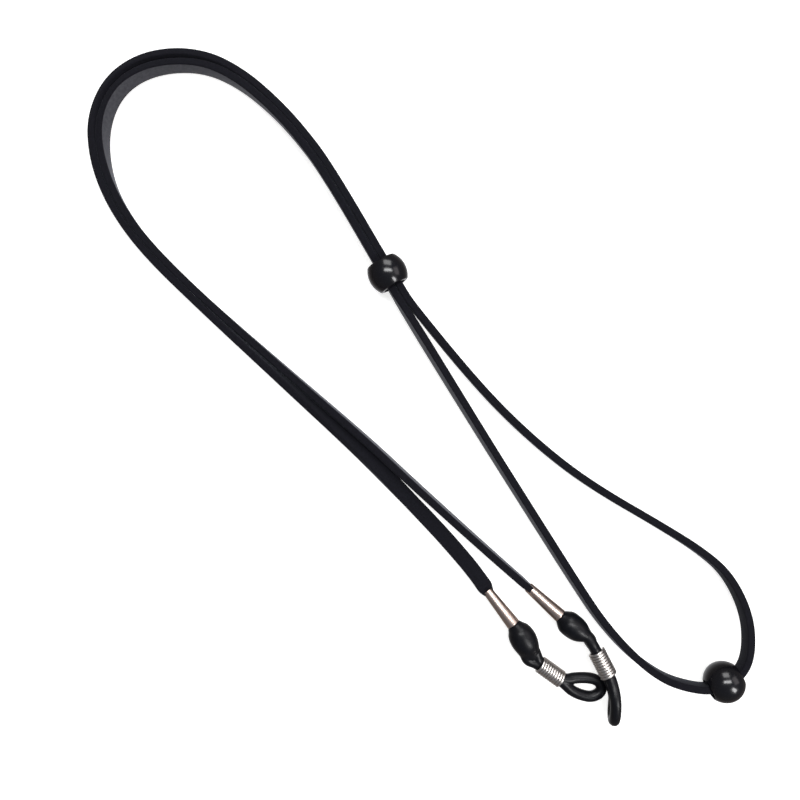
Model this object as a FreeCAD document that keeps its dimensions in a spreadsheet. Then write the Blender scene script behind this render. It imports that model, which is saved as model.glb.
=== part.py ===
import FreeCAD, Part
import math
import os
import Sketcher
from FreeCAD import Matrix, Placement, Rotation, Vector

# Eyeglasses strap, laid out on a table.
# One flat lace is folded in half: its halves lie side by side round the neck loop, pass together through
# the slider bead, part, and meet again where the fold passes through the end bead. The two free ends are
# clamped in ferrules, and each ferrule holds a rubber loop whose legs pass through a coil spring.
# Millimetres. Origin: centre of the object's footprint, on the table. +Z up.

doc = FreeCAD.newDocument("eyeglasses_strap")


# ---------------------------------------------------------------- driving dimensions

DIMENSIONS = {
    # flat lace, standing on edge
    "lace_width": 3.2,
    "lace_thickness": 1.55,
    "lace_pitch": 1.62,         # centre to centre where its halves lie side by side
    "lace_tip_radius": 0.68,    # crimped tip inside a ferrule
    "lace_tip_depth": 2.5,
    "lace_tip_root": 1.5,       # how far the tip starts back inside the lace
    # beads
    "bead_clearance": 0.025,    # between a bead and the table
    "slider_diameter": 8.0,
    "slider_length": 5.8,
    "slider_hole": 4.7,
    "slider_curve": 4.8,        # radius of its barrel's outline: more than half its diameter
    "slider_rounding": 0.25,
    "end_bead_diameter": 8.15,
    "end_bead_length": 6.75,
    "end_bead_hole": 4.3,
    "end_bead_curve": 4.075,    # a ball: half its diameter
    "end_bead_rounding": 0.08,
    # ferrules: tapered tubes, slightly flattened at the mouth that clamps the lace
    "ferrule_length": 8.6,
    "ferrule_mouth_major": 1.05,
    "ferrule_mouth_minor": 0.92,
    "ferrule_end_radius": 1.4,
    "ferrule_bore_mouth": 0.7,
    "ferrule_bore_end": 1.12,
    # rubber loops
    "stem_length": 3.2,
    "stem_clearance": 0.03,
    "bulb_half_width": 2.7,     # across both legs
    "bulb_half_depth": 2.45,
    "strand_radius": 1.1,
    "leg_spread": 1.0,          # from the middle to each leg, where they leave the bulb
    "core_radius": 1.26,        # both legs pressed together inside the coil
    "core_overhang": 0.8,       # how far the pressed legs show past each end of the coil
    # coil springs
    "coil_wire_radius": 0.25,
    "coil_radius": 1.57,        # to the middle of the wire
    "coil_pitch": 0.55,
    "coil_turns": 9.5,
}

sheet = doc.addObject("Spreadsheet::Sheet", "Dims")
for row, (alias, value) in enumerate(DIMENSIONS.items(), start=1):
    sheet.set(f"A{row}", alias)
    sheet.set(f"B{row}", str(value))
    sheet.setAlias(f"B{row}", alias)
doc.recompute()


def dim(alias):
    """A driving dimension, read back from the sheet."""
    return float(getattr(sheet, alias))


# ---------------------------------------------------------------- the lace's route

REST = dim("lace_width") / 2                                        # the lace on edge on the table
SLIDER_Z = dim("slider_diameter") / 2 + dim("bead_clearance")       # the slider bead's axis
END_Z = dim("end_bead_diameter") / 2 + dim("bead_clearance")        # the end bead's axis
SLIDER_CENTRE = (-6.81, 23.15, SLIDER_Z)
END_BEAD_CENTRE = (61.25, -59.47, END_Z)
INTO_END_BEAD = (64.15, -58.27, END_Z)
OUT_OF_END_BEAD = (58.83, -61.05, END_Z)
HALVES_MEET = (-27.4, 1.7, REST)                                    # where the tails join the neck loop

# Neck loop, the middle line of the two halves: from the slider bead, up its right side, over the top and
# down its left side.
NECK = [
    (-18.88, 43.96, SLIDER_Z),
    (-25.1, 52.2, 3.6),
    (-30.6, 58.1, 2.9),
    (-36.8, 63.3, 2.3),
    (-43.7, 66.8, 1.9),
    (-51.25, 67.45, 1.7),
    (-58.15, 65.66, REST),
    (-63.3, 61.55, REST),
    (-66.05, 55.2, REST),
    (-66.2, 48.4, REST),
    (-64.3, 40.9, REST),
    (-60.2, 33.6, REST),
    (-54.5, 26.7, REST),
    (-44.1, 16.7, REST),
]

# The outer half, from ferrule A's mouth to where it joins the other half.
TAIL_A = [
    (13.46, -41.37, REST),
    (11.35, -38.25, REST),
    (7.7, -33.9, REST),
    (3.8, -29.5, REST),
    (-2.1, -23.3, REST),
    (-12.3, -12.7, REST),
    (-28.0, 1.15, REST),
]

# Both halves below the slider bead, round through the end bead and back.
FOLD = [
    (-4.03, 19.95, SLIDER_Z),
    (-1.45, 16.12, SLIDER_Z),
    (11.05, 1.1, 2.9),
    (19.9, -7.9, 1.9),
    (29.3, -15.9, REST),
    (37.7, -21.6, REST),
    (48.2, -27.65, REST),
    (57.2, -33.2, REST),
    (62.8, -38.1, 2.2),
    (66.4, -46.1, 3.1),
    (66.3, -53.8, END_Z),
    INTO_END_BEAD,
    OUT_OF_END_BEAD,
    (53.0, -60.2, END_Z),
    (48.1, -58.35, 3.7),
    (42.4, -54.0, 3.0),
    (36.8, -47.7, 2.2),
    (32.2, -40.75, 1.7),
    (24.8, -29.1, REST),
    (13.5, -11.2, REST),
    (1.1, 8.8, 2.9),
    (-4.17, 17.2, SLIDER_Z),
    (-5.38, 19.1, SLIDER_Z),
]

# The inner half, from where it leaves the other half to ferrule B's mouth.
TAIL_B = [
    (-26.9, 2.75, REST),
    (-11.0, -10.85, REST),
    (-1.3, -20.0, REST),
    (15.5, -35.2, REST),
    (21.9, -40.74, REST),
]


def vectors(points):
    return [Vector(*p) for p in points]


def beside(points, before, after, distance):
    """The points of a line moved sideways, to the left of its run, so that its runs stay parallel."""
    line = vectors([before] + points + [after])
    moved = []
    for previous, here, following in zip(line, line[1:], line[2:]):
        into = Vector(here.x - previous.x, here.y - previous.y, 0).normalize()
        out = Vector(following.x - here.x, following.y - here.y, 0).normalize()
        left = (Vector(-into.y, into.x, 0) + Vector(-out.y, out.x, 0)).normalize()
        half_turn = math.acos(max(-1.0, min(1.0, into.dot(out)))) / 2
        moved.append(here + left * (distance / math.cos(half_turn)))
    return [tuple(p) for p in moved]


half_pitch = dim("lace_pitch") / 2
inner = beside(NECK, SLIDER_CENTRE, HALVES_MEET, half_pitch)
outer = beside(NECK, SLIDER_CENTRE, HALVES_MEET, -half_pitch)
ROUTE = TAIL_A + outer[::-1] + FOLD + inner + TAIL_B


# ---------------------------------------------------------------- paths and tubes

ARC_SHARE = 0.45     # how much of the shorter run beside a corner its arc takes


def rounded_path(points):
    """Straight runs joined by tangent arcs: the edges, and the arcs' radii."""
    corners = vectors(points)
    edges = []
    radii = []
    start = corners[0]
    for previous, here, following in zip(corners, corners[1:], corners[2:]):
        into = (here - previous).normalize()
        out = (following - here).normalize()
        cut = ARC_SHARE * min(here.distanceToPoint(previous), here.distanceToPoint(following))
        half_turn = into.getAngle(out) / 2
        radius = cut / math.tan(half_turn)
        arc_start = here - into * cut
        arc_end = here + out * cut
        inward = (out - into).normalize()
        middle = here + inward * (radius / math.cos(half_turn) - radius)
        edges.append(Part.LineSegment(start, arc_start).toShape())
        edges.append(Part.Arc(arc_start, middle, arc_end).toShape())
        radii.append(radius)
        start = arc_end
    edges.append(Part.LineSegment(start, corners[-1]).toShape())
    return edges, radii


def disc(centre, normal, radius):
    return Part.Wire(Part.makeCircle(radius, centre, normal))


def oval(centre, normal, across, half_width, half_depth):
    """An ellipse square to normal, its long axis as near to across as that allows."""
    forward = Vector(normal).normalize()
    wide = (across - forward * across.dot(forward)).normalize()
    deep = forward.cross(wide)
    outline = Part.Ellipse(centre + wide * half_width, centre + deep * half_depth, centre)
    return Part.Wire(outline.toShape())


def round_tube(edges, radius):
    """A round strand along edges that run on from each other."""
    start = edges[0].valueAt(edges[0].FirstParameter)
    heading = edges[0].tangentAt(edges[0].FirstParameter)
    return Part.Wire(edges).makePipeShell([disc(start, heading, radius)], True, True)


def add_shape(name, shape):
    """A sub-part whose shape no feature makes: it is set, and then placed where it is drawn."""
    piece = doc.addObject("Part::Feature", name)
    piece.Label = name
    piece.Shape = shape
    piece.Placement = Placement()
    return piece


def aim(heading, roll=0.0):
    """The rotation that turns +Z to a heading, with +X kept level, then rolls about it."""
    z = Vector(heading).normalize()
    x = Vector(0, 0, 1).cross(z)
    if x.Length < 1e-9:
        x = Vector(1, 0, 0)
    x.normalize()
    y = z.cross(x)
    turned = Rotation(x, y, z, "ZXY")
    return turned.multiply(Rotation(Vector(0, 0, 1), roll))


# ---------------------------------------------------------------- connectors' places

class Connector:
    """Where one end of the strap lies: a ferrule, a rubber loop and its coil."""

    def __init__(self, mouth, ferrule_end, waist, knee, coil_start, coil_heading, across, strands):
        self.mouth = Vector(*mouth)                          # ferrule, lace end
        self.axis = (Vector(*ferrule_end) - self.mouth).normalize()
        self.ferrule_end = self.mouth + self.axis * dim("ferrule_length")
        self.waist = Vector(*waist)                          # where the legs leave the bulb
        self.knee = Vector(*knee)                            # halfway along the legs
        self.coil_start = Vector(*coil_start)
        self.coil_axis = Vector(*coil_heading).normalize()
        self.coil_length = dim("coil_pitch") * dim("coil_turns")
        self.coil_end = self.coil_start + self.coil_axis * self.coil_length
        self.across = Vector(*across).normalize()            # from one leg to the other
        self.strands = strands                               # the free loop's points


# Loop A lies flat, loop B stands on edge across its tip.
CONNECTOR_A = Connector(
    mouth=(13.62, -41.58, 1.6), ferrule_end=(18.87, -48.28, 2.5), waist=(22.3, -54.2, 2.3),
    knee=(22.85, -55.35, 2.1), coil_start=(24.44, -56.64, 1.87), coil_heading=(0.811, -0.585, 0.0),
    across=(0.85, 0.53, 0.0),
    strands=[
        (29.8, -59.95, 1.7), (31.6, -59.62, 1.3), (34.9, -59.65, 1.15), (36.7, -60.35, 1.15),
        (37.4, -61.8, 1.15), (36.6, -63.1, 1.15), (34.6, -63.7, 1.15), (31.3, -62.55, 1.3),
        (29.3, -60.57, 1.7),
    ],
)
CONNECTOR_B = Connector(
    mouth=(22.05, -40.87, 1.65), ferrule_end=(28.5, -46.6, 2.7), waist=(33.6, -50.4, 3.1),
    knee=(34.65, -52.0, 3.4), coil_start=(35.55, -53.48, 3.67), coil_heading=(0.452, -0.893, 0.09),
    across=(0.0, 0.1, 1.0),
    strands=[
        (38.28, -58.72, 4.35), (38.65, -60.3, 5.2), (38.9, -62.8, 5.95), (39.0, -65.9, 5.2),
        (39.1, -67.7, 3.7), (39.4, -67.5, 1.8), (39.65, -65.3, 1.15), (39.4, -62.9, 2.75),
        (38.6, -60.4, 3.45), (37.9, -58.9, 3.97),
    ],
)


# ---------------------------------------------------------------- lace

def lace_tip(connector):
    """The lace's crimped end, inside the ferrule's mouth."""
    back = connector.mouth - connector.axis * dim("lace_tip_root")
    length = dim("lace_tip_root") + dim("lace_tip_depth")
    return Part.makeCylinder(dim("lace_tip_radius"), length, back, connector.axis)


def make_lace():
    edges, radii = rounded_path(ROUTE)
    path = Part.Wire(edges)
    start = Vector(*ROUTE[0])
    heading = Vector(*ROUTE[1]) - start
    side = Vector(-heading.y, heading.x, 0).normalize() * (dim("lace_thickness") / 2)
    up = Vector(0, 0, dim("lace_width") / 2)
    corners = [start + side + up, start - side + up, start - side - up, start + side - up]
    section = Part.makePolygon(corners + corners[:1])
    sweep = Part.BRepOffsetAPI.MakePipeShell(path)
    sweep.setBiNormalMode(Vector(0, 0, 1))
    sweep.add(section)
    sweep.build()
    sweep.makeSolid()
    band = Part.Solid(sweep.shape())
    if band.Volume < 0:
        band.reverse()
    area = dim("lace_width") * dim("lace_thickness")
    print("lace: length %.1f mm, section x length %.1f mm3, volume %.1f mm3" % (
        path.Length, area * path.Length, band.Volume))
    print("lace: arc radii " + " ".join("%.1f" % r for r in radii))
    shape = band.fuse([lace_tip(CONNECTOR_A), lace_tip(CONNECTOR_B)])
    return add_shape("lace", shape.Solids[0])


# ---------------------------------------------------------------- beads

def origin_plane(body, role):
    return next(f for f in body.Origin.OriginFeatures if f.Role == role)


def make_bead(name, centre, heading):
    """A bead turned about its own Z: one arc outside, flat ends, a straight hole and rounded edges."""
    prefix = "slider" if name == "slider_bead" else "end_bead"
    body = doc.addObject("PartDesign::Body", name)
    body.Label = name
    sketch = body.newObject("Sketcher::SketchObject", prefix + "_profile")
    sketch.AttachmentSupport = (origin_plane(body, "XZ_Plane"), [""])
    sketch.MapMode = "FlatFace"
    hole = dim(prefix + "_hole") / 2
    half = dim(prefix + "_length") / 2
    girth = dim(prefix + "_diameter") / 2
    curve = dim(prefix + "_curve")
    face = girth - curve + math.sqrt(curve ** 2 - half ** 2)        # the flat end's outer radius
    low, high = Vector(hole, -half, 0), Vector(hole, half, 0)
    rim_low, rim_high = Vector(face, -half, 0), Vector(face, half, 0)
    sketch.addGeometry(Part.LineSegment(low, high), False)
    sketch.addGeometry(Part.LineSegment(high, rim_high), False)
    sketch.addGeometry(Part.Arc(rim_low, Vector(girth, 0, 0), rim_high), False)
    sketch.addGeometry(Part.LineSegment(rim_low, low), False)
    wall, top, arc, bottom = range(4)
    at_start, at_end, at_centre = 1, 2, 3
    for joint in (
        (wall, at_end, top, at_start), (top, at_end, arc, at_end),
        (arc, at_start, bottom, at_start), (bottom, at_end, wall, at_start),
    ):
        sketch.addConstraint(Sketcher.Constraint("Coincident", *joint))
    sketch.addConstraint(Sketcher.Constraint("Horizontal", top))
    sketch.addConstraint(Sketcher.Constraint("Horizontal", bottom))
    sketch.addConstraint(Sketcher.Constraint("PointOnObject", arc, at_centre, -1))
    sketch.addConstraint(Sketcher.Constraint("Symmetric", wall, at_start, wall, at_end, -1))
    for label, sizes, formula in (
        ("bore", ("DistanceX", -1, 1, wall, at_end, hole), "Dims.{0}_hole / 2"),
        ("span", ("DistanceY", wall, at_start, wall, at_end, 2 * half), "Dims.{0}_length"),
        ("curve", ("Radius", arc, curve), "Dims.{0}_curve"),
        ("face", ("DistanceX", -1, 1, top, at_end, face),
         "Dims.{0}_diameter / 2 - Dims.{0}_curve + sqrt(Dims.{0}_curve ^ 2 - (Dims.{0}_length / 2) ^ 2)"),
    ):
        sketch.addConstraint(Sketcher.Constraint(*sizes))
        sketch.renameConstraint(sketch.ConstraintCount - 1, label)
        sketch.setExpression("Constraints." + label, formula.format(prefix))
    turned = body.newObject("PartDesign::Revolution", prefix + "_revolution")
    turned.Profile = sketch
    turned.ReferenceAxis = (sketch, ["V_Axis"])
    turned.Angle = 360
    doc.recompute()
    rounded = (hole,) if face - hole < 2 * dim(prefix + "_rounding") else (hole, face)
    edges = [
        f"Edge{n}" for n, edge in enumerate(turned.Shape.Edges, start=1)
        if isinstance(edge.Curve, Part.Circle) and abs(abs(edge.Curve.Center.z) - half) < 1e-3
        and any(abs(edge.Curve.Radius - radius) < 1e-3 for radius in rounded)
    ]
    rounding = body.newObject("PartDesign::Fillet", prefix + "_rounded")
    rounding.Base = (turned, edges)
    rounding.setExpression("Radius", f"Dims.{prefix}_rounding")
    body.Placement = Placement(Vector(*centre), aim(heading))
    return body


# ---------------------------------------------------------------- ferrules

def make_ferrule(name, connector):
    """A tube lofted from the flattened mouth to the round end, bored with a taper."""
    mouth = doc.addObject("Part::Ellipse", name + "_mouth")
    mouth.setExpression("MajorRadius", "Dims.ferrule_mouth_major")
    mouth.setExpression("MinorRadius", "Dims.ferrule_mouth_minor")
    end = doc.addObject("Part::Circle", name + "_end")
    end.setExpression("Radius", "Dims.ferrule_end_radius")
    end.setExpression("Placement.Base.z", "Dims.ferrule_length")
    tube = doc.addObject("Part::Loft", name + "_tube")
    tube.Sections = [mouth, end]
    tube.Solid = True
    bore = doc.addObject("Part::Cone", name + "_bore")
    bore.setExpression("Radius1", "Dims.ferrule_bore_mouth")
    bore.setExpression("Radius2", "Dims.ferrule_bore_end")
    bore.setExpression("Height", "Dims.ferrule_length")
    piece = doc.addObject("Part::Cut", name)
    piece.Label = name
    piece.Base = tube
    piece.Tool = bore
    piece.Placement = Placement(connector.mouth, aim(connector.axis))
    return piece


# ---------------------------------------------------------------- rubber loops

def stem(connector):
    """The rubber's stem: it fills the end of the ferrule's tapered bore."""
    taper = (dim("ferrule_bore_end") - dim("ferrule_bore_mouth")) / dim("ferrule_length")
    wide = dim("ferrule_bore_end") - dim("stem_clearance")
    narrow = wide - taper * dim("stem_length")
    base = connector.ferrule_end - connector.axis * dim("stem_length")
    return Part.makeCone(narrow, wide, dim("stem_length"), base, connector.axis)


# How the bulb swells from the ferrule (0) to the waist (1): its half width and half depth, as shares of
# the largest.
BULB_SWELL = (
    (0.0, 0.54, 0.58), (0.12, 0.7, 0.77), (0.27, 0.89, 0.95), (0.5, 1.0, 1.0),
    (0.7, 0.96, 0.96), (0.84, 0.88, 0.82), (0.94, 0.81, 0.62), (1.0, 0.77, 0.47),
)


def bulb(connector):
    """Oval sections along a gentle bend, from the ferrule's end to the waist where the legs leave."""
    start = connector.ferrule_end
    reach = connector.waist.distanceToPoint(start)
    bend = start + connector.axis * (reach / 2)
    sections = []
    for t, width_share, depth_share in BULB_SWELL:
        centre = start * (1 - t) ** 2 + bend * (2 * t * (1 - t)) + connector.waist * t ** 2
        heading = (bend - start) * (1 - t) + (connector.waist - bend) * t
        half_width = dim("bulb_half_width") * width_share
        half_depth = dim("bulb_half_depth") * depth_share
        sections.append(oval(centre, heading, connector.across, half_width, half_depth))
    return Part.makeLoft(sections, True)


def legs(connector):
    """Two strands, side by side, from inside the bulb to the coil, where they draw together."""
    inside_bulb = 1.3
    short_of_coil = 0.65
    spread_at_root = dim("leg_spread")
    spread_at_knee = spread_at_root * 0.95
    spread_at_coil = 0.2
    heading = (connector.knee - connector.waist).normalize()
    root = connector.waist - heading * inside_bulb
    tip = connector.coil_start - connector.coil_axis * short_of_coil
    strands = []
    for side in (1, -1):
        points = [
            root + connector.across * (side * spread_at_root),
            connector.knee + connector.across * (side * spread_at_knee),
            tip + connector.across * (side * spread_at_coil),
        ]
        edges, _ = rounded_path([tuple(p) for p in points])
        strands.append(round_tube(edges, dim("strand_radius")))
    return strands


def core(connector):
    """The two legs pressed into one round bar inside the coil."""
    overhang = dim("core_overhang")
    base = connector.coil_start - connector.coil_axis * overhang
    return Part.makeCylinder(
        dim("core_radius"), connector.coil_length + 2 * overhang, base, connector.coil_axis)


def free_loop(connector):
    """The loop past the coil: one strand, swept as two halves that meet at the tip."""
    edges, radii = rounded_path(connector.strands)
    print("rubber loop: arc radii " + " ".join("%.2f" % r for r in radii))
    corners = len(radii)
    half = 2 * (corners // 2)
    first = edges[:half + 1]
    rest = edges[half + 1:]
    return [round_tube(first, dim("strand_radius")), round_tube(rest, dim("strand_radius"))]


def make_rubber(name, connector):
    pieces = [stem(connector), bulb(connector), core(connector)] + legs(connector) + free_loop(connector)
    shape = pieces[0].fuse(pieces[1:])
    if len(shape.Solids) != 1:
        raise RuntimeError(f"{name} came out as {len(shape.Solids)} solids")
    return add_shape(name, shape.Solids[0])


# ---------------------------------------------------------------- coil springs

def make_coil(name, connector):
    """Round wire, close wound."""
    helix = doc.addObject("Part::Helix", name + "_helix")
    helix.setExpression("Pitch", "Dims.coil_pitch")
    helix.setExpression("Height", "Dims.coil_pitch * Dims.coil_turns")
    helix.setExpression("Radius", "Dims.coil_radius")
    wire = doc.addObject("Part::Circle", name + "_wire")
    wire.setExpression("Radius", "Dims.coil_wire_radius")
    wire.setExpression("Placement.Base.x", "Dims.coil_radius")
    wire.Placement.Rotation = Rotation(Vector(1, 0, 0), 90)
    doc.recompute()
    piece = doc.addObject("Part::Sweep", name)
    piece.Label = name
    piece.Sections = [wire]
    piece.Spine = (helix, [f"Edge{n}" for n in range(1, len(helix.Shape.Edges) + 1)])
    piece.Solid = True
    piece.Frenet = True
    doc.recompute()
    piece.Placement = Placement(connector.coil_start, aim(connector.coil_axis))
    return piece


# ---------------------------------------------------------------- the whole strap

slider_axis = Vector(*NECK[0]) - Vector(*SLIDER_CENTRE)
end_bead_axis = Vector(*INTO_END_BEAD) - Vector(*OUT_OF_END_BEAD)

subparts = [
    make_lace(),
    make_bead("slider_bead", SLIDER_CENTRE, slider_axis),
    make_bead("end_bead", END_BEAD_CENTRE, end_bead_axis),
    make_ferrule("ferrule_a", CONNECTOR_A),
    make_ferrule("ferrule_b", CONNECTOR_B),
    make_rubber("rubber_loop_a", CONNECTOR_A),
    make_rubber("rubber_loop_b", CONNECTOR_B),
    make_coil("coil_spring_a", CONNECTOR_A),
    make_coil("coil_spring_b", CONNECTOR_B),
]
doc.recompute()

for item in doc.Objects:
    if "Invalid" in item.State or "Error" in item.State:
        raise RuntimeError(f"{item.Name} failed: {item.State}")

os.makedirs("parts", exist_ok=True)
for piece in subparts:
    shape = piece.Shape
    if shape.isNull() or not shape.isValid():
        raise RuntimeError(f"{piece.Label} has no valid shape")
    print("%-14s solids %d volume %8.2f mm3" % (piece.Label, len(shape.Solids), shape.Volume))
    shape.exportStep(f"parts/{piece.Label}.step")
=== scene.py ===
import math

import bpy
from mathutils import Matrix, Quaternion, Vector


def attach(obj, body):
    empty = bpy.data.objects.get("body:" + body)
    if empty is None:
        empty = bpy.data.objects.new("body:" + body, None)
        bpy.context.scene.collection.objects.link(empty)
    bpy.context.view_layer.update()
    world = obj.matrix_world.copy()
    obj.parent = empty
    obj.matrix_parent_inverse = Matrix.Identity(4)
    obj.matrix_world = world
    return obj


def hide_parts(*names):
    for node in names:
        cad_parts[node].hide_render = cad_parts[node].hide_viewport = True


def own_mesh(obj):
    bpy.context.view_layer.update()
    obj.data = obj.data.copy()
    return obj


# Eyeglasses strap laid out on a table. Metres, Z up, the table at z = 0.

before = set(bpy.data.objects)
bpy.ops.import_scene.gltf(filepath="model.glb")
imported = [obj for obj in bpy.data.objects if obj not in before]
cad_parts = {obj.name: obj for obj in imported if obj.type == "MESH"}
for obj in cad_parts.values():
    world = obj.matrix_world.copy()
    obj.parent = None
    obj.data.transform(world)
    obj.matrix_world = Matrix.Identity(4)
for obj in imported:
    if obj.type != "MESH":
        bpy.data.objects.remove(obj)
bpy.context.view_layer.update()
scene = bpy.context.scene


# ---------------------------------------------------------------- camera

camera_data = bpy.data.cameras.new("camera")
camera_data.sensor_width = 36
camera_data.lens = 34.9
camera_data.clip_start = 0.005
camera = bpy.data.objects.new("camera", camera_data)
camera.location = (-0.0043, -0.00245, 0.161)
scene.collection.objects.link(camera)
scene.camera = camera


# ---------------------------------------------------------------- sizes, in metres

LACE_WIDTH = 0.0032
LACE_THICKNESS = 0.00154
LACE_PITCH = 0.00154       # from one half of the neck loop to the other
LACE_CORNER = 0.0003       # worn round
LACE_INSIDE = 0.0008       # how far each end goes into its ferrule
LACE_SHOULDER = 0.0010     # over which the pinched end swells to full size
PINCHED_WIDTH = 0.62       # share of the full width at the ferrule's mouth
PINCHED_THICKNESS = 0.85
STRAND_RADIUS = 0.00113
COIL_RADIUS = 0.00157      # to the middle of the wire
COIL_WIRE_RADIUS = 0.00025
COIL_PITCH = 0.00055
COIL_TURNS = 9.5
FERRULE_LENGTH = 0.0086
FERRULE_LIP = 0.0002
RUBBER_GRAIN = 0.00014     # voxel size at which the rubber's shells are fused

REST = 0.0016        # on the table, on edge; lower where it leans
SLIDER_Z = 0.004025  # the slider bead's axis
END_Z = 0.0041       # the end bead's axis

# The lace's route: x, y, z, and how far its upper edge leans over to the left of the run, in degrees.
# In the neck loop, which is the middle line of its two halves, the lean is outwards, and the last value
# is the gap between the halves.
NECK = [
    (-0.01888, 0.04396, SLIDER_Z, 0, 0),
    (-0.0251, 0.0522, 0.0036, 0, 0),
    (-0.0306, 0.0581, 0.0029, 2, 0),
    (-0.0368, 0.0633, 0.0023, 7, 0.00005),
    (-0.0437, 0.0668, 0.0019, 13, 0.00020),
    (-0.05125, 0.06745, 0.0017, 15, 0.00045),
    (-0.05815, 0.06566, REST, 20, 0.00035),
    (-0.0633, 0.06155, REST, 27, 0.00008),
    (-0.06605, 0.0552, REST, 24, 0),
    (-0.0662, 0.0484, REST, 8, 0),
    (-0.0643, 0.0409, REST, -7, 0),
    (-0.0602, 0.0336, REST, -8, 0),
    (-0.0545, 0.0267, REST, -7, 0),
    (-0.0441, 0.0167, REST, -4, 0),
]
TAIL_A = [
    (0.01346, -0.04137, REST, 80),
    (0.01135, -0.03825, REST, 90),
    (0.0077, -0.0339, REST, 90),
    (0.0038, -0.0295, REST, 90),
    (-0.0021, -0.0233, REST, 88),
    (-0.0123, -0.0127, REST, 48),
    (-0.0280, 0.00115, REST, 12),
]
FOLD = [
    (-0.00403, 0.01995, SLIDER_Z, 0),
    (-0.00145, 0.01612, SLIDER_Z, 0),
    (0.01105, 0.0011, 0.0029, 0),
    (0.0199, -0.0079, 0.0019, 0),
    (0.0293, -0.0159, REST, 0),
    (0.0377, -0.0216, REST, 0),
    (0.0482, -0.02765, REST, 0),
    (0.0572, -0.0332, REST, 2),
    (0.0628, -0.0381, 0.0022, 3),
    (0.0664, -0.0461, 0.0031, 5),
    (0.0663, -0.0538, END_Z, 3),
    (0.06415, -0.05827, END_Z, 0),
    (0.05883, -0.06105, END_Z, 0),
    (0.0530, -0.0602, END_Z, 4),
    (0.0481, -0.05835, 0.0037, 3),
    (0.0424, -0.0540, 0.0030, -6),
    (0.0368, -0.0477, 0.0022, -9),
    (0.0322, -0.04075, 0.0017, -10),
    (0.0248, -0.0291, REST, -11),
    (0.0135, -0.0112, REST, -12),
    (0.0011, 0.0088, 0.0029, -14),
    (-0.00417, 0.0172, SLIDER_Z, -8),
    (-0.00538, 0.0191, SLIDER_Z, 0),
]
TAIL_B = [
    (-0.0269, 0.00275, REST, -3),
    (-0.0110, -0.01085, REST, -6),
    (-0.0013, -0.0200, REST, -8),
    (0.0155, -0.0352, REST, -6),
    (0.0219, -0.04074, REST, -3),
]

SLIDER_CENTRE = (-0.00681, 0.02315, SLIDER_Z)
SLIDER_AXIS = Vector((-0.01207, 0.02081, 0)).normalized()
END_BEAD_CENTRE = (0.06125, -0.05947, END_Z)
END_BEAD_AXIS = Vector((0.00532, 0.00278, 0)).normalized()


# ---------------------------------------------------------------- geometry helpers

def beside(points, before, after, side):
    """One half of the neck loop: its middle line moved to the left of its run (side 1) or right (-1)."""
    line = [Vector(p[:2]) for p in [before] + points + [after]]
    moved = []
    for (_, _, z, lean, gap), previous, here, following in zip(points, line, line[1:], line[2:]):
        into = (here - previous).normalized()
        out = (following - here).normalized()
        left = Vector((-into.y - out.y, into.x + out.x)).normalized()
        apart = (LACE_PITCH / math.cos(math.radians(lean)) + gap) / math.cos(into.angle(out) / 2)
        place = here + left * (side * apart / 2)
        moved.append((place.x, place.y, z, lean))
    return moved


def spline_points(points, resolution=12):
    """The smooth line of these control points, read as the vertices of a curve with no bevel."""
    curve = bpy.data.curves.new("route", "CURVE")
    curve.dimensions = "3D"
    curve.resolution_u = resolution
    spline = curve.splines.new("NURBS")
    spline.points.add(len(points) - 1)
    for control, place in zip(spline.points, points):
        control.co = (place[0], place[1], place[2], 1)
    spline.order_u = 3
    spline.use_endpoint_u = True
    holder = bpy.data.objects.new("route", curve)
    mesh = bpy.data.meshes.new_from_object(holder)
    places = [v.co.copy() for v in mesh.vertices]
    bpy.data.objects.remove(holder)
    bpy.data.curves.remove(curve)
    bpy.data.meshes.remove(mesh)
    return places


def tangents(places):
    ends = zip(places[:1] + places[:-1], places[1:] + places[-1:])
    return [(b - a).normalized() for a, b in ends]


def skin(rings, ends):
    """Points and faces over closed rings of points. ends: open, capped, or joined to each other."""
    count = len(rings[0])
    points = [tuple(p) for ring in rings for p in ring]
    faces = []
    spans = len(rings) if ends == "joined" else len(rings) - 1
    for i in range(spans):
        a = i * count
        b = (i + 1) % len(rings) * count
        for j in range(count):
            k = (j + 1) % count
            faces.append((a + j, a + k, b + k, b + j))
    if ends == "capped":
        faces.append(tuple(reversed(range(count))))
        faces.append(tuple(range(len(points) - count, len(points))))
    return points, faces


def mesh_piece(name, shells, material):
    """One mesh object from one or more (points, faces) shells, smooth shaded."""
    points = []
    faces = []
    for shell_points, shell_faces in shells:
        start = len(points)
        points += shell_points
        faces += [tuple(start + i for i in face) for face in shell_faces]
    mesh = bpy.data.meshes.new(name)
    mesh.from_pydata(points, [], faces)
    mesh.update()
    mesh.shade_smooth()
    mesh.materials.append(material)
    piece = bpy.data.objects.new(name, mesh)
    scene.collection.objects.link(piece)
    return piece


def fuse(piece, smoothing):
    """Makes overlapping shells one skin, with soft fillets where they met."""
    remesh = piece.modifiers.new("fuse", "REMESH")
    remesh.mode = "VOXEL"
    remesh.voxel_size = RUBBER_GRAIN
    remesh.use_smooth_shade = True
    smooth = piece.modifiers.new("soften", "SMOOTH")
    smooth.factor = 0.5
    smooth.iterations = smoothing
    bpy.context.view_layer.update()
    evaluated = piece.evaluated_get(bpy.context.evaluated_depsgraph_get())
    mesh = bpy.data.meshes.new_from_object(evaluated)
    piece.modifiers.clear()
    piece.data = mesh
    mesh.shade_smooth()


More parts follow.
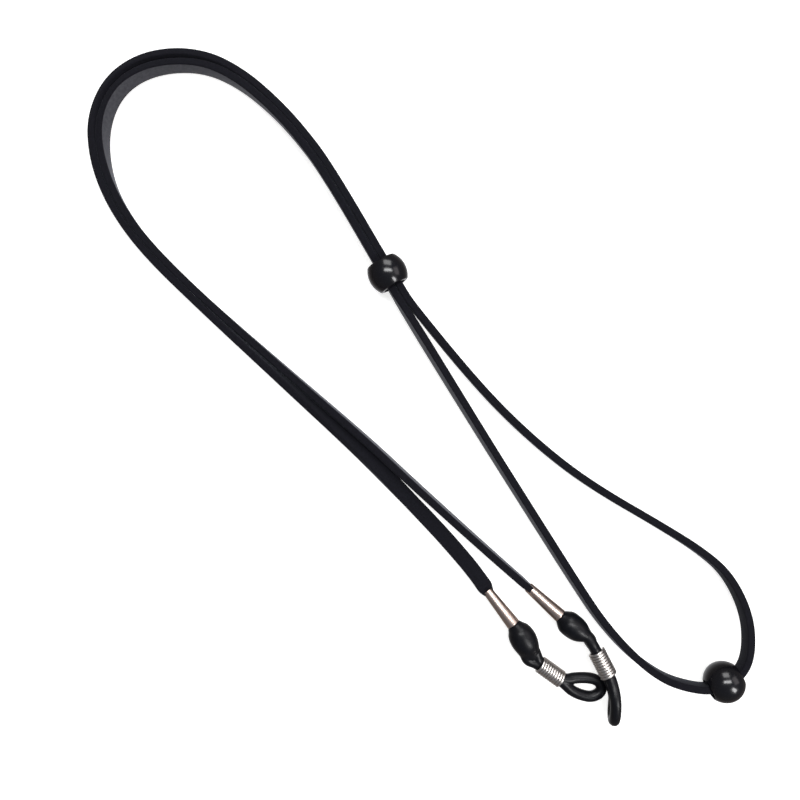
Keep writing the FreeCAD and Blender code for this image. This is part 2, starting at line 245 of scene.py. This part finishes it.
def oval(centre, axis, across, half_width, half_depth, count=48):
    """A ring square to an axis, its width as near to across as that allows."""
    wide = (across - axis * across.dot(axis)).normalized()
    deep = axis.cross(wide)
    turn = math.tau / count
    return [
        centre + wide * (half_width * math.cos(turn * i)) + deep * (half_depth * math.sin(turn * i))
        for i in range(count)
    ]


def carried_rings(places, radii, count=24):
    """Round rings along a line, carried from one to the next without twist."""
    headings = tangents(places)
    side = headings[0].orthogonal().normalized()
    rings = []
    for place, heading, radius in zip(places, headings, radii):
        side = (side - heading * side.dot(heading)).normalized()
        top = heading.cross(side)
        rings.append([
            place + (side * math.cos(math.tau * i / count) + top * math.sin(math.tau * i / count)) * radius
            for i in range(count)
        ])
    return rings


# ---------------------------------------------------------------- materials

def new_material(name, values):
    material = bpy.data.materials.new(name)
    material.use_nodes = True
    shader = material.node_tree.nodes["Principled BSDF"]
    for socket, value in values.items():
        shader.inputs[socket].default_value = value
    return material


def noise(material, scale, detail=4.0):
    """A noise texture in the object's own coordinates."""
    nodes = material.node_tree.nodes
    links = material.node_tree.links
    place = nodes.new("ShaderNodeTexCoord")
    texture = nodes.new("ShaderNodeTexNoise")
    texture.inputs["Scale"].default_value = scale
    texture.inputs["Detail"].default_value = detail
    links.new(place.outputs["Object"], texture.inputs["Vector"])
    return texture.outputs["Fac"]


def ramped(material, factor, low, high):
    """From low to high as the factor goes from 0.3 to 0.7."""
    ramp = material.node_tree.nodes.new("ShaderNodeValToRGB")
    ramp.color_ramp.elements[0].position = 0.3
    ramp.color_ramp.elements[0].color = low
    ramp.color_ramp.elements[1].position = 0.7
    ramp.color_ramp.elements[1].color = high
    material.node_tree.links.new(factor, ramp.inputs["Fac"])
    return ramp.outputs["Color"]


def drive(material, socket, output):
    material.node_tree.links.new(output, material.node_tree.nodes["Principled BSDF"].inputs[socket])


def bumped(material, factor, strength, depth):
    bump = material.node_tree.nodes.new("ShaderNodeBump")
    bump.inputs["Strength"].default_value = strength
    bump.inputs["Distance"].default_value = depth
    material.node_tree.links.new(factor, bump.inputs["Height"])
    drive(material, "Normal", bump.outputs["Normal"])


def grey(value):
    return (value, value, value, 1)


# Faux suede: a short dense nap, dead black with a cool cast, paler where it is seen edge on.
suede = new_material("suede", {
    "Roughness": 0.92,
    "Specular IOR Level": 0.18,
    "Sheen Weight": 0.09,
    "Sheen Roughness": 0.4,
    "Sheen Tint": (0.78, 0.84, 1.0, 1),
})
drive(suede, "Base Color", ramped(
    suede, noise(suede, 2600, 6), (0.0022, 0.0022, 0.0042, 1), (0.0052, 0.0052, 0.0088, 1)))
bumped(suede, noise(suede, 9000, 8), 0.35, 0.00006)

# The lace's left side face: a greyer copy of the suede's dye on a smoother finish, painted light standing for
# the light that falls on that face.
painted_lit_side = new_material("lace_side_painted_light", {
    "Roughness": 0.62,
    "Specular IOR Level": 0.3,
    "Sheen Weight": 0.1,
    "Sheen Roughness": 0.5,
    "Sheen Tint": (0.8, 0.85, 1.0, 1),
})
drive(painted_lit_side, "Base Color", ramped(
    painted_lit_side, noise(painted_lit_side, 1800, 6), (0.031, 0.031, 0.038, 1), (0.052, 0.052, 0.060, 1)))
bumped(painted_lit_side, noise(painted_lit_side, 6000, 8), 0.3, 0.00004)

# Moulded acrylic: glossy black, with the faint waves of a moulded skin.
acrylic = new_material("acrylic", {
    "Base Color": (0.004, 0.004, 0.0055, 1),
    "Specular IOR Level": 0.5,
})
drive(acrylic, "Roughness", ramped(acrylic, noise(acrylic, 900), grey(0.17), grey(0.23)))
bumped(acrylic, noise(acrylic, 220, 2), 0.05, 0.0002)

# Polished nickel, drawn lengthwise: fine scratches only.
nickel = new_material("nickel", {
    "Base Color": (0.66, 0.54, 0.47, 1),
    "Metallic": 1.0,
    "Specular Tint": (0.45, 0.38, 0.33, 1),
})
drive(nickel, "Roughness", ramped(nickel, noise(nickel, 900, 4), grey(0.27), grey(0.33)))
bumped(nickel, noise(nickel, 5000, 4), 0.05, 0.00001)

spring_wire = new_material("spring_wire", {
    "Base Color": (0.76, 0.73, 0.70, 1),
    "Metallic": 1.0,
    "Specular Tint": (0.5, 0.48, 0.46, 1),
})
drive(spring_wire, "Roughness", ramped(spring_wire, noise(spring_wire, 1500, 4), grey(0.28), grey(0.36)))

# Moulded rubber: satin, with a very fine bloom.
rubber = new_material("rubber", {
    "Specular IOR Level": 0.27,
})
drive(rubber, "Base Color", ramped(
    rubber, noise(rubber, 700, 5), (0.0020, 0.0022, 0.0034, 1), (0.0042, 0.0046, 0.0066, 1)))
drive(rubber, "Roughness", ramped(rubber, noise(rubber, 1800, 5), grey(0.31), grey(0.43)))
bumped(rubber, noise(rubber, 6000, 6), 0.12, 0.00003)


# ---------------------------------------------------------------- connectors' places

class Connector:
    """Where one end of the strap lies: a ferrule, a rubber loop and its coil."""

    def __init__(self, mouth, ferrule_end, waist, knee, coil_start, coil_heading, across, strands):
        self.mouth = Vector(mouth)                          # ferrule, lace end
        self.axis = (Vector(ferrule_end) - self.mouth).normalized()
        self.ferrule_end = self.mouth + self.axis * FERRULE_LENGTH
        self.waist = Vector(waist)                          # where the legs leave the bulb
        self.knee = Vector(knee)                            # halfway along the legs
        self.coil_start = Vector(coil_start)
        self.coil_axis = Vector(coil_heading).normalized()
        self.coil_end = self.coil_start + self.coil_axis * (COIL_PITCH * COIL_TURNS)
        self.across = Vector(across).normalized()           # from one leg to the other
        self.strands = strands                              # the free loop's points


CONNECTOR_A = Connector(
    mouth=(0.01362, -0.04158, 0.0016), ferrule_end=(0.01887, -0.04828, 0.0025),
    waist=(0.0223, -0.0542, 0.0023), knee=(0.02285, -0.05535, 0.0021),
    coil_start=(0.02444, -0.05664, 0.00187), coil_heading=(0.811, -0.585, 0.0),
    across=(0.85, 0.53, 0.0),
    strands=[
        (0.0298, -0.05995, 0.0017), (0.0316, -0.05962, 0.0013), (0.0349, -0.05965, 0.00115),
        (0.0367, -0.06035, 0.00115), (0.0374, -0.0618, 0.00115), (0.0366, -0.0631, 0.00115),
        (0.0346, -0.0637, 0.00115), (0.0313, -0.06255, 0.0013), (0.0293, -0.06057, 0.0017),
    ],
)
CONNECTOR_B = Connector(
    mouth=(0.02205, -0.04087, 0.00165), ferrule_end=(0.0285, -0.0466, 0.0027),
    waist=(0.0336, -0.0504, 0.0031), knee=(0.03465, -0.0520, 0.0034),
    coil_start=(0.03555, -0.05348, 0.00367), coil_heading=(0.452, -0.893, 0.09),
    across=(0.0, 0.1, 1.0),
    strands=[
        (0.03828, -0.05872, 0.00435), (0.03865, -0.0603, 0.0052), (0.0389, -0.0628, 0.00595),
        (0.0390, -0.0659, 0.0052), (0.0391, -0.0677, 0.0037), (0.0394, -0.0675, 0.0018),
        (0.03965, -0.0653, 0.00115), (0.0394, -0.0629, 0.00275), (0.0386, -0.0604, 0.00345),
        (0.0379, -0.0589, 0.00397),
    ],
)


# ---------------------------------------------------------------- lace

def half_height(lean):
    """How high the middle of the lace lies over the table where it leans by so many degrees."""
    turn = abs(math.radians(lean))
    return LACE_WIDTH / 2 * math.cos(turn) + LACE_THICKNESS / 2 * math.sin(turn)


def rested(points):
    """The points with z let down onto the table where it is REST, and kept clear of it elsewhere."""
    lowered = []
    for x, y, z, lean in points:
        height = half_height(lean)
        lowered.append((x, y, height if z == REST else max(z, height), lean))
    return lowered


AFTER_NECK = (-0.0274, 0.0017, REST, 0)
inner = [(x, y, z, -lean) for x, y, z, lean in beside(NECK, SLIDER_CENTRE, AFTER_NECK, 1)]
outer = beside(NECK, SLIDER_CENTRE, AFTER_NECK, -1)
ROUTE = rested(TAIL_A + outer[::-1] + FOLD + inner + TAIL_B)


def upper_edge(points):
    """The line of the lace's upper edge: each control point moved up, over towards its lean."""
    edge = []
    for previous, here, following in zip(points[:1] + points[:-1], points, points[1:] + points[-1:]):
        run = Vector(following[:2]) - Vector(previous[:2])
        left = Vector((-run.y, run.x, 0)).normalized()
        lean = math.radians(here[3])
        up = Vector((0, 0, math.cos(lean))) + left * math.sin(lean)
        edge.append(tuple(Vector(here[:3]) + up * (LACE_WIDTH / 2)))
    return edge


def lace_section(half_width, half_thickness):
    """A rectangle with worn corners: (across, along the width) pairs."""
    steps = 4
    r = min(LACE_CORNER, half_thickness * 0.9, half_width * 0.9)
    section = []
    for quarter, (sx, sy) in enumerate(((1, 1), (-1, 1), (-1, -1), (1, -1))):
        for step in range(steps + 1):
            angle = (quarter + step / steps) * math.pi / 2
            x = sx * (half_thickness - r) + r * math.cos(angle)
            y = sy * (half_width - r) + r * math.sin(angle)
            section.append((x, y))
    return section


def make_lace():
    line = spline_points(ROUTE)
    edge = spline_points(upper_edge(ROUTE))
    ups = [(e - p).normalized() for e, p in zip(edge, line)]
    places = [CONNECTOR_A.mouth + CONNECTOR_A.axis * LACE_INSIDE] + line
    places += [CONNECTOR_B.mouth + CONNECTOR_B.axis * LACE_INSIDE]
    ups = ups[:1] + ups + ups[-1:]
    headings = tangents(places)
    run = [0.0]
    for a, b in zip(places, places[1:]):
        run.append(run[-1] + (b - a).length)
    rings = []
    for place, heading, up, s in zip(places, headings, ups, run):
        to_end = min(s, run[-1] - s) - LACE_INSIDE
        t = min(1.0, max(0.0, to_end / LACE_SHOULDER))
        swell = math.sqrt(1 - (1 - t) ** 2)
        half_width = LACE_WIDTH / 2 * (PINCHED_WIDTH + (1 - PINCHED_WIDTH) * swell)
        half_thickness = LACE_THICKNESS / 2 * (PINCHED_THICKNESS + (1 - PINCHED_THICKNESS) * swell)
        up = (up - heading * up.dot(heading)).normalized()
        side = up.cross(heading)
        ring = [place + side * x + up * y for x, y in lace_section(half_width, half_thickness)]
        sunk = min(0.0, min(p.z for p in ring))
        rings.append([p - Vector((0, 0, sunk)) for p in ring])
    piece = mesh_piece("lace_cord", [skin(rings, "capped")], suede)
    # The left side face takes the greyer material: painted light on that face.
    piece.data.materials.append(painted_lit_side)
    around = len(rings[0])
    left_face = around - 1
    for face in piece.data.polygons[:around * (len(rings) - 1)]:
        if face.index % around == left_face:
            face.material_index = 1
    return piece, line


lace, lace_line = make_lace()
lace_length = sum((b - a).length for a, b in zip(lace_line, lace_line[1:]))
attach(lace, "strap")
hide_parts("lace")
print("lace length along its line: %.4f" % lace_length)


# ---------------------------------------------------------------- beads

def bead_profile(girth, curve, length, bore, lip, shoulder):
    """(distance from the axis, along the axis): over the outside, round a mouth, down the bore, round the
    other mouth. girth is the radius at the middle, curve the radius of the outline."""
    side_steps = 32
    shoulder_steps = 6
    lip_steps = 8
    half = length / 2
    inset = curve - shoulder
    top = half - shoulder
    tilt = math.asin(top / inset)
    profile = []
    for i in range(side_steps + 1):
        angle = -tilt + 2 * tilt * i / side_steps
        profile.append((girth - curve + curve * math.cos(angle), curve * math.sin(angle)))
    corner = girth - curve + inset * math.cos(tilt)
    rim = []
    for i in range(1, shoulder_steps + 1):
        angle = tilt + (math.pi / 2 - tilt) * i / shoulder_steps
        rim.append((corner + shoulder * math.cos(angle), top + shoulder * math.sin(angle)))
    for i in range(lip_steps + 1):
        angle = math.pi / 2 * (1 + i / lip_steps)
        rim.append((bore + lip + lip * math.cos(angle), half - lip + lip * math.sin(angle)))
    return profile + rim + [(distance, -along) for distance, along in reversed(rim)]


def make_bead(name, centre, axis, profile):
    count = 96
    side = Vector((0, 0, 1)).cross(axis).normalized()
    top = axis.cross(side)
    rings = []
    for distance, along in profile:
        rings.append([
            Vector(centre) + axis * along
            + (side * math.cos(math.tau * i / count) + top * math.sin(math.tau * i / count)) * distance
            for i in range(count)
        ])
    return mesh_piece(name, [skin(rings, "joined")], acrylic)


slider_profile = bead_profile(
    girth=0.004, curve=0.0048, length=0.0058, bore=0.00235, lip=0.00012, shoulder=0.0004)
slider = make_bead("slider_barrel", SLIDER_CENTRE, SLIDER_AXIS, slider_profile)
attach(slider, "slider")
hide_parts("slider_bead")

ball_profile = bead_profile(
    girth=0.004075, curve=0.004075, length=0.00675, bore=0.00215, lip=0.00006, shoulder=0.00006)
end_bead = make_bead("end_ball", END_BEAD_CENTRE, END_BEAD_AXIS, ball_profile)
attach(end_bead, "fold_bead")
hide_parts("end_bead")


# ---------------------------------------------------------------- ferrules

def ferrule_outline():
    """(along, radius): the rolled lip at the mouth, the taper, the lip at the end, and back down the bore."""
    mouth = 0.00103
    end = 0.0014
    taper = FERRULE_LENGTH - 2 * FERRULE_LIP
    outline = [(0.0, mouth - 0.00006), (0.00008, mouth)]
    outline += [(FERRULE_LIP + taper * t / 10, mouth + (end - mouth) * t / 10) for t in range(11)]
    outline += [(FERRULE_LENGTH - 0.00008, end - 0.00001), (FERRULE_LENGTH, end - 0.00008)]
    outline += [(FERRULE_LENGTH, 0.00118), (FERRULE_LENGTH - FERRULE_LIP, 0.00112), (FERRULE_LIP, 0.00074)]
    return outline


def make_ferrule(name, node, connector):
    """A drawn taper, flattened from above at its mouth, round at its end, bored through."""
    flattened = 0.86
    round_from = 0.006
    level = Vector((0, 0, 1)).cross(connector.axis)
    rings = []
    for along, radius in ferrule_outline():
        flat = flattened + (1 - flattened) * min(1.0, along / round_from)
        centre = connector.mouth + connector.axis * along
        rings.append(oval(centre, connector.axis, level, radius, radius * flat, 64))
    piece = mesh_piece(name, [skin(rings, "joined")], nickel)
    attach(piece, "strap")
    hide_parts(node)


make_ferrule("ferrule_tube_a", "ferrule_a", CONNECTOR_A)
make_ferrule("ferrule_tube_b", "ferrule_b", CONNECTOR_B)


# ---------------------------------------------------------------- rubber loops

SEAM = 0.0005        # how far inside the coil's tip-side end the loop piece starts
ROOTED = 0.0016      # how far inside the bulb the legs start
SHORT_OF_COIL = 0.0006

# How the bulb swells from the ferrule (0) to the waist (1): its half width and half depth, in mm.
BULB_SWELL = [
    (0.0, 1.42, 1.38), (0.10, 1.75, 1.80), (0.24, 2.50, 2.50), (0.5, 2.80, 2.56),
    (0.72, 2.64, 2.40), (0.86, 2.38, 2.00), (0.95, 2.22, 1.62), (1.03, 2.08, 1.34),
    (1.12, 1.92, 1.14), (1.22, 1.70, 0.96), (1.30, 1.20, 0.60),
]


def bulb_shell(connector):
    """Oval sections along a gentle bend from the ferrule to the waist where the legs leave."""
    start = connector.ferrule_end
    bend = start + connector.axis * ((connector.waist - start).length / 2)
    rings = []
    for t, half_width, half_depth in spline_points(BULB_SWELL, 8):
        centre = start * (1 - t) ** 2 + bend * (2 * t * (1 - t)) + connector.waist * t ** 2
        heading = ((bend - start) * (1 - t) + (connector.waist - bend) * t).normalized()
        rings.append(oval(centre, heading, connector.across, half_width / 1000, half_depth / 1000))
    return skin(rings, "capped")


def leg_shells(connector):
    """Two strands, side by side, from inside the bulb to the coil, and on through it."""
    heading = (connector.knee - connector.waist).normalized()
    root = connector.waist - heading * ROOTED
    tip = connector.coil_start - connector.coil_axis * SHORT_OF_COIL
    far = connector.coil_end - connector.coil_axis * SEAM
    stations = [
        (root, 0.0009), (connector.waist, 0.00110), (connector.knee, 0.00104), (tip, 0.0002), (far, 0.0001),
    ]
    shells = []
    for side in (1, -1):
        line = spline_points([place + connector.across * (side * spread) for place, spread in stations])
        shells.append(skin(carried_rings(line, [STRAND_RADIUS] * len(line)), "capped"))
    return shells


def make_rubber(name, node, connector):
    grip = mesh_piece(name + "_grip", [bulb_shell(connector)] + leg_shells(connector), rubber)
    fuse(grip, 6)
    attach(grip, "strap")
    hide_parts(node)
    seam = connector.coil_end - connector.coil_axis * SEAM
    first = Vector(connector.strands[0])
    last = Vector(connector.strands[-1])
    spread = (first - last).normalized() * 0.0001
    line = spline_points([seam + spread] + connector.strands + [seam - spread])
    loop = mesh_piece(
        name + "_loop", [skin(carried_rings(line, [STRAND_RADIUS] * len(line)), "capped")], rubber)
    fuse(loop, 4)
    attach(loop, "strap")
    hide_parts(node)
    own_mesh(loop)


make_rubber("rubber_a", "rubber_loop_a", CONNECTOR_A)
make_rubber("rubber_b", "rubber_loop_b", CONNECTOR_B)


# ---------------------------------------------------------------- coil springs

def make_coil(name, node, body, connector):
    """Round wire, close wound, its ends cut square."""
    axis = connector.coil_axis
    side = Vector((0, 0, 1)).cross(axis).normalized()
    top = axis.cross(side)
    steps = 48
    line = []
    for i in range(int(steps * COIL_TURNS) + 1):
        turn = math.tau * i / steps
        line.append(
            connector.coil_start + axis * (COIL_PITCH * i / steps)
            + (side * math.cos(turn) + top * math.sin(turn)) * COIL_RADIUS)
    rings = carried_rings(line, [COIL_WIRE_RADIUS] * len(line), 14)
    piece = mesh_piece(name, [skin(rings, "capped")], spring_wire)
    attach(piece, body)
    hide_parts(node)


make_coil("coil_wire_a", "coil_spring_a", "coil_a", CONNECTOR_A)
make_coil("coil_wire_b", "coil_spring_b", "coil_b", CONNECTOR_B)


# ---------------------------------------------------------------- studio

def new_light(name, place, width, height, power, colour=(1, 1, 1), roll=0.0):
    """An area light that faces the middle of the strap, turned by roll degrees about its own line."""
    data = bpy.data.lights.new(name, "AREA")
    data.shape = "RECTANGLE"
    data.size = width
    data.size_y = height
    data.energy = power
    data.color = colour
    light = bpy.data.objects.new(name, data)
    light.location = place
    aimed = (-Vector(place)).to_track_quat("-Z", "Y")
    light.rotation_euler = (aimed @ Quaternion((0, 0, 1), math.radians(roll))).to_euler()
    scene.collection.objects.link(light)


new_light("overhead", (0.03, 0.15, 0.60), 0.45, 0.13, 2.6, roll=14)
new_light("window", (0.02, 0.60, 0.45), 0.44, 0.34, 2.4)
new_light("corner", (0.34, -0.27, 0.42), 0.13, 0.26, 1.6)
new_light("side", (0.50, 0.16, 0.42), 0.40, 0.32, 0.6, colour=(1.0, 0.93, 0.95))

floor_material = bpy.data.materials.new("white_table")
floor_material.use_nodes = True
table = floor_material.node_tree.nodes["Principled BSDF"]
table.inputs["Base Color"].default_value = (0.6, 0.6, 0.595, 1)
table.inputs["Roughness"].default_value = 0.8
table.inputs["Emission Color"].default_value = (1.0, 1.0, 0.985, 1)
table.inputs["Emission Strength"].default_value = 0.75

bpy.ops.mesh.primitive_plane_add(size=20.0, location=(0, 0, -0.00005))
floor = bpy.context.object
floor.name = "table_top"
floor.data.materials.append(floor_material)
floor.visible_glossy = False

# The room as polished surfaces mirror it: a bright sheet close below, dark round about, dim above.
ROOM = (
    (0.0, (0.90, 0.90, 0.92)), (0.12, (0.52, 0.51, 0.52)), (0.24, (0.20, 0.18, 0.17)),
    (0.45, (0.15, 0.135, 0.13)), (0.62, (0.15, 0.145, 0.15)), (1.0, (0.16, 0.17, 0.20)),
)
world = bpy.data.worlds.new("studio")
scene.world = world
world.use_nodes = True
nodes = world.node_tree.nodes
links = world.node_tree.links
direction = nodes.new("ShaderNodeTexCoord")
split = nodes.new("ShaderNodeSeparateXYZ")
rise = nodes.new("ShaderNodeMapRange")
rise.inputs["From Min"].default_value = -1.0
room = nodes.new("ShaderNodeValToRGB")
stops = room.color_ramp.elements
while len(stops) < len(ROOM):
    stops.new(0.5)
for stop, (position, colour) in zip(stops, ROOM):
    stop.position = position
    stop.color = (*colour, 1)
links.new(direction.outputs["Generated"], split.inputs["Vector"])
links.new(split.outputs["Z"], rise.inputs["Value"])
links.new(rise.outputs["Result"], room.inputs["Fac"])
links.new(room.outputs["Color"], nodes["Background"].inputs["Color"])
scene.view_settings.view_transform = "Standard"
